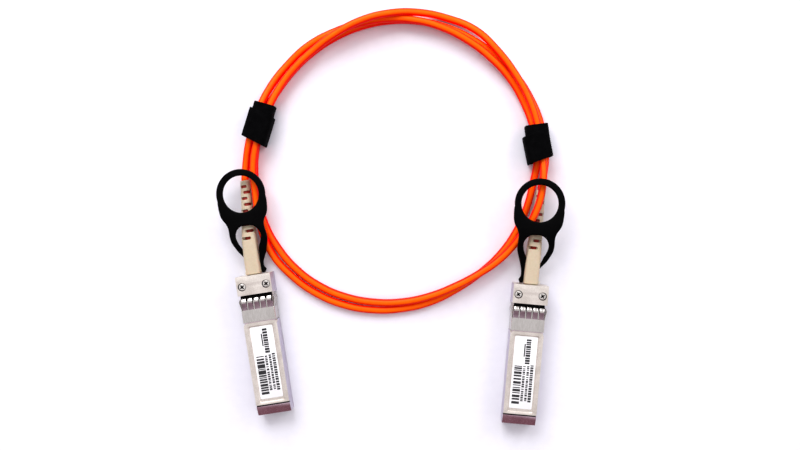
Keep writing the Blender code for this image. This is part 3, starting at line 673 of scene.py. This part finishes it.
def make_housing(letter, matrix):
    """Die-cast tub and the lower half of the head."""
    wide, narrow = 4.6, 3.2
    fork_slot = [(-wide, 48.7), (wide, 48.7), (wide, BEYOND_HEAD), (narrow, BEYOND_HEAD),
                 (narrow, 52.7), (-narrow, 52.7), (-narrow, BEYOND_HEAD), (-wide, BEYOND_HEAD)]
    panel = rounded((-4.6, 13.4), (4.6, 33.6), 0.8)
    moulding_marks = ((-5.6, 12.0), (5.6, 12.0), (-5.2, 35.4), (5.2, 35.4))
    steps = [
        # collar's seat, neck and head
        (ADD, block(SEAT_HALF_WIDTH, (35.8, 47.3), (SEAT_BOTTOM, 6.1))),
        (ADD, block(6.1, (46.3, 49.5), (0.6, 4.3))),
        (ADD, block(HEAD_HALF_WIDTH, (HEAD_START, BODY_LENGTH), (HEAD_BOTTOM, HEAD_SPLIT[0]))),
        # cavity, its shallower end over the latch, the tail's opening and the cable's bore
        (CUT, block(CAVITY_HALF_WIDTH, (-1, 40.5), (1.95, 8))),
        (CUT, block(CAVITY_HALF_WIDTH, (39.5, 46.6), (3.0, 8))),
        (CUT, block(6.0, (-1, TAIL_OPENING), (-1, 2.5))),
        (CUT, rod((0, CABLE_HEIGHT), BORE_RADIUS, "y", 46, BEYOND_HEAD)),
        # the rocker's channel, the slider's slot and a shallow panel underneath
        (CUT, block(2.3, (41.6, 53.6), (-2, 1.85))),
        (CUT, lambda b: prism(b, fork_slot, "z", 0.65, 1.8)),
        (CUT, lambda b: prism(b, panel, "z", -1, 0.22)),
    ]
    steps += [(CUT, rod(mark, 0.55, "z", -1, 0.1, 20)) for mark in moulding_marks]
    mesh = carve(block(BODY_HALF_WIDTH, (0, 37.5), (0, TUB_TOP)), steps, bevel=0.14)
    made = piece(f"housing_{letter}", mesh, ["die_cast", "flank"], "root", matrix,
                 [f"lower_housing_{letter}"])
    # painted shade and reflection: the sides get the darker lavender metal
    shade_faces(made, "flank", lambda c: abs(c.x) > FLANK)


def make_cover(letter, matrix):
    """Lid with a ramped tail, a framed label recess, and the upper half of the head."""
    lid_end = 37.9
    profile = [(0, LID_BOTTOM), (lid_end, LID_BOTTOM), (lid_end, BODY_HEIGHT), (4.3, BODY_HEIGHT),
               (4.3, 7.4), (TAIL_RAMP, 7.4), (3.75, 8.28), (0.05, 6.95)]

    def recess(b):
        loft(b, [[(x, y, z) for x, y in rounded((-wide, RECESS_START - grow), (wide, RECESS_END + grow), 0.7)]
                 for z, wide, grow in ((7.9, 4.8, 0.0), (8.7, 5.2, 0.4))])

    def corners(b):
        """All that lies outside the lid's rounded front corners."""
        outline = rounded((-BODY_HALF_WIDTH, -20), (BODY_HALF_WIDTH, 37.55), 1.4, 6)
        shell(b, [[(x * 3, y * 2, z) for x, y in outline] for z in (6.4, 8.6)],
              [[(x, y, z) for x, y in outline] for z in (6.4, 8.6)])

    steps = [
        (CUT, corners),
        # collar's seat, tongue to the head with its step, and head
        (ADD, block(SEAT_HALF_WIDTH, (35.0, 45.3), (6.6, SEAT_TOP))),
        (ADD, block(6.0, (44.6, 49.4), (5.0, 6.3))),
        (ADD, block(6.0, (44.6, 45.3), (5.0, 7.9))),
        (ADD, block(HEAD_HALF_WIDTH, (LID_HEAD_START, BODY_LENGTH), (HEAD_SPLIT[1], HEAD_TOP))),
        # cavity, label recess, cable's bore and screws' wells
        (CUT, block(5.2, (4.8, 44.4), (5, 7.3))),
        (CUT, recess),
        (CUT, rod((0, CABLE_HEIGHT), BORE_RADIUS, "y", 46, BEYOND_HEAD)),
    ]
    steps += [(CUT, rod((side * SCREW_X, SCREW_Y), 1.63, "z", 7.3, 10, 40)) for side in SCREWS.values()]
    mesh = carve(lambda b: prism(b, profile, "x", -BODY_HALF_WIDTH, BODY_HALF_WIDTH), steps, bevel=0.16)
    made = piece(f"cover_{letter}", mesh, ["die_cast", "ramp", "recess", "flank"], "root", matrix,
                 [f"upper_cover_{letter}"])
    # tail ramp and collar seat: smooth nickel whose tint is a painted reflection
    shade_faces(made, "ramp", lambda c: c.y < 3.95 or 38.0 < c.y < 48.3)
    # painted shade and reflection: the sides get the darker lavender metal
    shade_faces(made, "flank", lambda c: abs(c.x) > FLANK)
    # painted shade, near black: the groove at the ramp's top, the gap behind the head and the screws' wells
    shade_faces(made, "recess", lambda c: 3.78 < c.y < 4.4 and c.z < 8.3)
    shade_faces(made, "recess", lambda c: 42.0 < c.y < 48.75 and c.z < 8.3)
    shade_faces(made, "recess", lambda c: 50.3 < c.y < 53.9 and 2.9 < abs(c.x) < 6.7 and 7.0 < c.z < 8.55)


def make_screw(letter, side, name, matrix):
    """Screw with a shallow domed head and a cross recess."""
    x, y = side * SCREW_X, SCREW_Y
    profile = [(3.2, 0.55), (7.35, 0.55), (7.35, 1.42), (8.22, 1.46), (8.38, 1.38), (8.46, 1.1), (8.49, 0.02)]

    def cross_arm(turn):
        """A draw of one arm of the cross, narrower at its bottom."""
        way = Matrix.Rotation(radians(turn), 3, "Z")
        rings = []
        for z, long, wide in ((7.4, 0.45, 0.16), (8.7, 1.02, 0.30)):
            corners = [(long, wide), (-long, wide), (-long, -wide), (long, -wide)]
            rings.append([(way @ Vector((a, c, 0)) + Vector((x, y, z)))[:] for a, c in corners])
        return lambda b: loft(b, rings)

    def body(b):
        loft(b, [circle((x, y), radius, "z", z, 32) for z, radius in profile])

    mesh = carve(body, [(CUT, cross_arm(turn)) for turn in (35, 125)], bevel=0.04)
    made = piece(f"{name}_detail_{letter}", mesh, ["steel", "recess"], "root", matrix,
                 [f"{name}_{letter}"])
    # painted shade in the cross recess
    shade_faces(made, "recess", lambda c: 7.3 < c.z < 8.4 and abs(c.x - x) < 1.0 and abs(c.y - y) < 1.0)


def finger_ring(wall, across, width, share):
    """Section of a bowed finger at a share of its length, standing on one wall of the collar."""
    place = share * (len(FINGER_LINE) - 1)
    i = min(int(place), len(FINGER_LINE) - 2)
    y, rise = (catmull(values, i, place - i) for values in zip(*FINGER_LINE))
    middle = WALL_LEVELS[wall] - 0.14 + rise
    left, right = across - width / 2, across + width / 2
    outer, inner = middle + FINGER_HALF_SHEET, middle - FINGER_HALF_SHEET
    ring = []
    for edge, out in ((left, outer), (right, outer), (right, inner), (left, inner)):
        x, z = {"top": (edge, out), "left": (-out, edge), "bottom": (edge, -out), "right": (out, edge)}[wall]
        ring.append((x, FINGER_ROOT + y, z))
    return ring


def make_collar(letter, matrix):
    """Stamped spring collar: a sleeve, bowed fingers on four sides and thin bars between the top ones."""
    def outline(inset, radius):
        return rounded((-COLLAR_HALF_WIDTH + inset, COLLAR_BOTTOM + inset),
                       (COLLAR_HALF_WIDTH - inset, COLLAR_TOP - inset), radius, 6)

    def sleeve(b):
        """Its rear and front edges are turned in a little."""
        rings = ((37.8, 0.06), (37.87, 0.0), (42.75, 0.0), (42.9, 0.03))
        shell(b, [[(x * (1 - s / 7), y, COLLAR_MIDDLE + (z - COLLAR_MIDDLE) * (1 - s / 4))
                   for x, z in outline(0, 0.7)] for y, s in rings],
              [[(x, y, z) for x, z in outline(SHEET, 0.4)] for y, s in rings])

    def fingers(b):
        places = [("top", (i - 2) * FINGER_PITCH, 1.8) for i in range(5)]
        places += [(wall, height, 1.8) for wall in ("left", "right") for height in (1.75, 4.25, 6.75)]
        places += [("bottom", across, width)
                   for across, width in ((-5.2, 1.7), (-3.3, 1.3), (3.3, 1.3), (5.2, 1.7))]
        for place in places:
            loft(b, [finger_ring(*place, k / 20) for k in range(21)])
        for i in range(4):
            centre = (i - 1.5) * FINGER_PITCH
            box(b, (centre - 0.24, centre + 0.24), (42.4, 46.6), (8.2, 8.42))

    def dark_strip(b):
        """Dark strip between the collar and the head."""
        loft(b, [[(x, y, z) for x, y in rounded((-6.2 + t, 47.2 + t), (6.2 - t, 48.7 - t), 0.3)]
                 for z, t in ((6.4, 0.0), (7.9, 0.0), (8.1, 0.2))])

    boss_gap = block(2.4, (41.4, 44), (-1, 1))
    piece(f"collar_{letter}", carve(sleeve, [(CUT, boss_gap)], bevel=0), ["sheet"], "root", matrix,
          [f"emi_collar_{letter}"])
    made = piece(f"collar_fingers_{letter}", carve(fingers, bevel=0.05), ["sheet", "slope"], "root", matrix)
    # painted shade: the top fingers' slopes that face the tail get the darker sheet
    shade_faces(made, "slope", lambda c: 43.0 < c.y < 45.8 and c.z > 8.5)
    piece(f"gasket_{letter}", drawn(dark_strip), ["tab"], "root", matrix)


# ---------------------------------------------------------------- label and board

def make_label(letter, matrix, seed):
    """Printed film in the cover's recess, with plain marks where a real label is printed."""
    film = rounded((-LABEL_HALF_WIDTH, LABEL_START), (LABEL_HALF_WIDTH, LABEL_END), 0.5)
    mesh = carve(lambda b: prism(b, film, "z", 7.9, LABEL_FACE + 0.02), bevel=0.03)
    piece(f"label_film_{letter}", mesh, ["label"], "root", matrix, [f"label_{letter}"])
    pick = Random(seed)

    def mark(b, across, along):
        """A printed block. across runs from the label's left edge, along from its end at the head."""
        low = (-LABEL_HALF_WIDTH + across[0], LABEL_END - along[1])
        high = (-LABEL_HALF_WIDTH + across[1], LABEL_END - along[0])
        prism(b, rounded(low, high, 0.04, 2), "z", LABEL_FACE, LABEL_FACE + 0.04)

    def row(b, across, along, widths, gaps):
        """Blocks of printing side by side between two places along the label."""
        place = along[0]
        while place < along[1]:
            wide = pick.choice(widths)
            mark(b, across, (place, min(place + wide, along[1] + 0.2)))
            place += wide + pick.choice(gaps)

    def print_marks(b):
        mark(b, (4.05, 4.55), (3.0, 8.2))
        row(b, (4.8, 6.7), (1.1, 10.9), (0.5, 0.7, 0.9), (0.2, 0.28))
        row(b, (0.8, 3.9), (12.0, 27.4), (0.4, 0.7, 1.0, 1.6), (0.25, 0.35, 0.6))
        row(b, (4.3, 5.3), (12.0, 26.0), (0.4, 0.6, 0.8), (0.2, 0.26, 0.5))
        row(b, (5.85, 6.8), (11.8, 25.8), (0.4, 0.6, 0.8), (0.2, 0.26, 0.5))
        row(b, (7.2, 8.5), (11.4, 26.2), (0.5, 0.7, 0.9), (0.22, 0.3))

    piece(f"label_print_{letter}", drawn(print_marks), ["ink"], "root", matrix)


def make_board(letter, matrix):
    """Circuit board with edge contacts and a few small parts under its tail."""
    tail, wide, end = 4.6, 5.2, 39.2
    outline = [(-tail, 3.2), (tail, 3.2), (tail, 12), (wide, 12.6), (wide, end), (-wide, end),
               (-wide, 12.6), (-tail, 12)]
    mesh = carve(lambda b: prism(b, outline, "z", BOARD_BOTTOM, BOARD_TOP), bevel=0.07)
    piece(f"board_{letter}", mesh, ["board"], "root", matrix, [f"circuit_board_{letter}"])

    def contacts(b):
        for i in range(10):
            x = (i - 4.5) * CONTACT_PITCH
            reach = 5.9 if i in LONG_CONTACTS else 5.5
            outline = rounded((x - CONTACT_HALF_WIDTH, 3.45), (x + CONTACT_HALF_WIDTH, reach), 0.08, 2)
            prism(b, outline, "z", BOARD_TOP - 0.01, BOARD_TOP + 0.03)
            prism(b, outline, "z", BOARD_BOTTOM - 0.03, BOARD_BOTTOM + 0.01)

    def parts(b):
        for x, y in ((-3.4, 8.2), (-1.9, 8.6), (1.4, 8.3), (3.1, 8.7), (-2.8, 10.4), (2.4, 10.3)):
            box(b, (x - 0.25, x + 0.25), (y - 0.5, y + 0.5), (1.75, 2.27))

    piece(f"edge_contacts_{letter}", drawn(contacts), ["gold"], "root", matrix)
    piece(f"board_parts_{letter}", carve(parts, bevel=0.06), ["chip"], "root", matrix)


# ---------------------------------------------------------------- boot and pull tab

def boot_half_width(along):
    """Half-width of the boot: a straight square base, then a taper."""
    stations = [(-1, 2.9), (0, 2.9), (13, 2.92), (18, 2.76), (22, 2.52), (30, 2.16), (BOOT_LENGTH, 1.98)]
    i = max(k for k in range(len(stations) - 1) if stations[k][0] <= along)
    share = (along - stations[i][0]) / (stations[i + 1][0] - stations[i][0])
    return catmull([width for _, width in stations], i, share)


def boot_ring(along, spec, radius, squareness, count=48):
    """Section of the boot: a circle, or a square with round corners as squareness grows."""
    centre = boot_axis(along, spec)
    points = []
    for i in range(count):
        angle = 2 * pi * (i + 0.5) / count
        c, s = cos(angle), sin(angle)
        power = 2 + 5 * squareness
        reach = radius / (abs(c) ** power + abs(s) ** power) ** (1 / power)
        points.append((centre.x + reach * c, centre.y, centre.z + reach * s))
    return points


def boot_window(bm, centre, low, high):
    """A round-ended window through the boot's wall, between two angles in degrees."""
    near, far = WINDOW_REACH
    rings = []
    for k in range(25):
        angle = radians(low + (high - low) * k / 24)
        inside = min(angle - radians(low), radians(high) - angle) * WALL_RADIUS
        inside = min(WINDOW_HALF_WIDTH, max(0.03, inside))
        half = sqrt(max(0.0, WINDOW_HALF_WIDTH ** 2 - (WINDOW_HALF_WIDTH - inside) ** 2))
        rings.append([(centre.x + r * cos(angle), centre.y + side * half, centre.z + r * sin(angle))
                      for side, r in ((-1, near), (1, near), (1, far), (-1, far))])
    loft(bm, rings)


def make_boot(letter, matrix, spec):
    """Strain relief with round-ended windows on alternate sides of its taper, and a thin dark red tube inside
    that paints the shade seen through the windows.
    """
    def body(b):
        rows = [-3.2, -0.1, 0.0] + [0.15 + k * 0.95 for k in range(39)] + [37.4, 37.8, BOOT_LENGTH]
        end_tuck = {0.0: 0.15, BOOT_LENGTH: 0.12}
        outer, inner = [], []
        for row in rows:
            if row < 0:
                outer.append(boot_ring(row, spec, BOOT_NECK_RADIUS, 0))
            else:
                wide = boot_half_width(row) - end_tuck.get(row, 0.0)
                outer.append(boot_ring(row, spec, wide, max(0.0, 1 - row / BOOT_ROUND_FROM)))
            inner.append(boot_ring(row, spec, BOOT_BORE_RADIUS, 0))
        shell(b, outer, inner)

    def windows(b):
        for i in range(WINDOWS):
            centre = boot_axis(WINDOW_FIRST + i * WINDOW_PITCH - i * i * WINDOW_CLOSING, spec)
            spans = ((-12, 114), (168, 294)) if i % 2 else ((66, 158), (246, 338))
            for low, high in spans:
                boot_window(b, centre, low, high)

    # a dark red tube just outside the cable paints the shade inside the windows
    def window_shade_tube(b):
        shell(b, *[[boot_ring(row, spec, radius, 0) for row in range(12, 38)] for radius in WINDOW_SHADE_RADII])

    mesh = carve(body, [(CUT, windows)], bevel=0.09, angle=40)
    piece(f"strain_relief_{letter}", mesh, ["boot"], "root", matrix, [f"boot_{letter}"], 40)
    piece(f"boot_window_shade_{letter}", drawn(window_shade_tube), ["sleeve"], "root", matrix)


def tab_height(ahead, spec):
    """Height of the tab's middle above the body's underside, at a distance ahead of the head."""
    risen = ease(ahead, TAB_RISE_START, TAB_RISE_START + spec["rise"])
    return TAB_FOOT_HEIGHT + (spec["ring_height"] - TAB_FOOT_HEIGHT) * risen


def tab_plan():
    """The pull tab's outline and its finger hole, about the ring's centre."""
    outside = smooth([(4.25, -32.5), (4.3, -31.4), (4.0, -30.6), (3.75, -29.6), (3.8, -28.0), (4.15, -26.3),
                      (4.6, -24.8), (5.2, -23.2), (5.85, -21.7), (6.55, -20.2), (7.1, -18.7), (7.3, -17.1),
                      (7.3, -15.6), (7.25, -14.1), (7.4, -12.6), (8.0, -11.0), (8.95, -9.5), (9.7, -7.6),
                      (10.0, -4.8), (10.05, -2.0)], 3)
    angles = [radians(degrees) for degrees in range(-10, 91, 5)]
    ring = [(RING_RADIUS * cos(angle), RING_RADIUS * sin(angle)) for angle in angles]
    inside = smooth([(3.0, -32.5), (2.95, -31.2), (2.95, -28.0), (2.95, -26.0), (3.05, -24.4), (3.3, -22.8),
                     (3.75, -21.4), (4.35, -20.2), (4.85, -18.7), (5.1, -17.1), (4.85, -15.6),
                     (4.0, -14.1), (2.4, -12.95), (0.0, WAIST)], 3)
    right = outside + ring
    outline = right + [(-x, y) for x, y in reversed(right[:-1])]
    outline += [(-x, y) for x, y in inside] + [(0.0, WAIST)] + inside[::-1]
    turns = [2 * pi * k / 72 for k in range(72)]
    return outline, [(RING_HOLE * cos(turn), RING_HOLE * sin(turn)) for turn in turns]


def plate(outlines, half_thickness, edge):
    """Mesh of a flat plate with round edges, from its outline and those of its holes."""
    curve = bpy.data.curves.new("work", "CURVE")
    curve.dimensions = "2D"
    curve.fill_mode = "BOTH"
    curve.extrude = half_thickness - edge
    curve.bevel_depth = edge
    curve.bevel_resolution = 3
    curve.offset = -edge
    for points in outlines:
        line = curve.splines.new("POLY")
        line.points.add(len(points) - 1)
        for knot, (x, y) in zip(line.points, points):
            knot.co = (x, y, 0, 1)
        line.use_cyclic_u = True
    item = linked("work", curve)
    mesh = evaluated_mesh(item)
    bpy.data.objects.remove(item, do_unlink=True)
    return mesh


def tab_place(flat, spec):
    """Where a point of the flat tab lies in the module's frame."""
    x, along, z = flat
    ahead = RING_CENTRE + along
    tucked_side = spec["tucked_side"]
    if x * tucked_side < 0:
        middle = -tucked_side * (ARM_MIDDLE + ARM_SPREAD * ease(ahead, *SPREAD_STRETCH))
        swollen = ease(ahead, *SWELL_IN) * (1 - ease(ahead, *SWELL_OUT))
        x = middle + (x - middle) * (1 + spec["arm_swell"] * swollen)
    on_ring = ease(ahead, *RING_IN)
    x *= 1 + (spec["ring_width"] - 1) * on_ring
    x += spec["tab_lean"] * ease(ahead, *LEAN_IN) * (1 - on_ring) + spec["ring_lean"] * on_ring
    tucked = (1 - ease(ahead, *TUCK_OUT)) if x * tucked_side > 0 else 0.0
    x -= tucked_side * spec["tuck"] * tucked
    z = z * (1 - TUCK_THINNING * tucked) + tab_height(ahead, spec) - TUCK_DROP * tucked
    return x, BODY_LENGTH + ahead, z


def make_tab(letter, matrix, spec):
    """Moulded pull tab: a flat plate, cut across so that it bends, then laid past the boot to its ring."""
    mesh = plate(tab_plan(), TAB_HALF_THICKNESS, TAB_EDGE)
    bm = bmesh.new()
    bm.from_mesh(mesh)
    bmesh.ops.remove_doubles(bm, verts=bm.verts, dist=0.002)
    y = -31.8
    while y < -7:
        bmesh.ops.bisect_plane(bm, geom=bm.verts[:] + bm.edges[:] + bm.faces[:], plane_co=(0, y, 0),
                               plane_no=(0, 1, 0), dist=0.0005)
        y += 0.8
    for vert in bm.verts:
        vert.co = tab_place(vert.co, spec)
    bmesh.ops.recalc_face_normals(bm, faces=bm.faces)
    bm.to_mesh(mesh)
    bm.free()
    piece(f"tab_{letter}", mesh, ["tab"], f"tab_{letter}", matrix, [f"pull_tab_{letter}"], 60)


# ---------------------------------------------------------------- leaf spring and pieces kept from the CAD

def make_leaf(letter, matrix):
    """Leaf spring over the rocker, with its place baked into its mesh."""
    outline = [(43.3, 1.58), (45.5, 1.55), (48.3, 1.2), (48.3, 1.32), (45.5, 1.7), (43.3, 1.73)]
    mesh = carve(lambda b: prism(b, outline, "x", -1.2, 1.2), bevel=0.03)
    leaf = piece(f"leaf_{letter}", mesh, ["sheet"], None, matrix, [f"leaf_spring_{letter}"])
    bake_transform(leaf)


def finish_cad(letter):
    """Carried-over CAD nodes: a small bevel on each and a procedural finish."""
    finishes = {
        "controller_chip": "chip", "driver_chip": "chip", "thermal_pad": "pad", "lens_block": "lens",
        "fibre_ribbon": "fibre", "crimp_ring": "steel", "latch_rocker": "steel", "pivot_pin": "steel",
        "latch_slider": "steel",
    }
    for name, finish in finishes.items():
        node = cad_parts[f"{name}_{letter}"]
        node.data.materials.clear()
        node.data.materials.append(FINISH[finish])
        soften(node, width=0.08 * MM, angle=35, weld=0.003 * MM)


# ---------------------------------------------------------------- room and light

def make_table():
    """Pale table under the cable."""
    reach = (-TABLE_REACH, TABLE_REACH)
    mesh = drawn(lambda b: box(b, reach, reach, (-TABLE_THICKNESS, 0)))
    mesh.transform(Matrix.Scale(MM, 4))
    mesh.materials.append(material("table", (0.82, 0.815, 0.88), (0.795, 0.79, 0.86), 0.85, grain=300,
                                   patch=18))
    floor = linked("table", mesh)


def make_backdrop():
    """World that shades from dark on the viewer's side to bright beyond the loop."""
    world = bpy.data.worlds.new("studio")
    bpy.context.scene.world = world
    world.use_nodes = True
    join = world.node_tree.links.new
    backdrop = world.node_tree.nodes["Background"]
    low, high = BACKDROP_EDGE
    place = add_node(world, "TexCoord")
    split = add_node(world, "SeparateXYZ")
    shade = add_node(world, "MapRange", {"From Min": low, "From Max": high}, interpolation_type="SMOOTHSTEP")
    tint = add_node(world, "MixRGB", {"Color1": (*BACKDROP_DARK, 1), "Color2": (*BACKDROP_BRIGHT, 1)})
    join(place.outputs["Generated"], split.inputs[0])
    join(split.outputs["Y"], shade.inputs["Value"])
    join(shade.outputs["Result"], tint.inputs["Fac"])
    join(tint.outputs["Color"], backdrop.inputs["Color"])
    backdrop.inputs["Strength"].default_value = BACKDROP_STRENGTH


def make_lights():
    """Two soft lights beyond the loop."""
    for name, spec in LIGHTS.items():
        light = bpy.data.lights.new(name, "AREA")
        light.size = spec["size"]
        light.energy = spec["power"]
        item = linked(name, light)
        item.location = spec["place"]
        aim = Vector(LIT_POINT) - Vector(spec["place"])
        item.rotation_mode = "QUATERNION"
        item.rotation_quaternion = aim.to_track_quat("-Z", "Y")


def set_contrast():
    """The photograph's strong contrast."""
    view = bpy.context.scene.view_settings
    view.view_transform = "Standard"
    view.look = "Medium High Contrast"


make_camera()
straps = [make_tie(name, spec) for name, spec in TIES.items()]
make_cable()
for letter, spec in MODULES.items():
    matrix = module_matrix(spec)
    make_housing(letter, matrix)
    make_cover(letter, matrix)
    for name, side in SCREWS.items():
        make_screw(letter, side, name, matrix)
    make_collar(letter, matrix)
    make_label(letter, matrix, spec["label_seed"])
    make_board(letter, matrix)
    make_boot(letter, matrix, spec)
    make_tab(letter, matrix, spec)
    make_leaf(letter, matrix)
    finish_cad(letter)
make_table()
make_backdrop()
make_lights()
set_contrast()
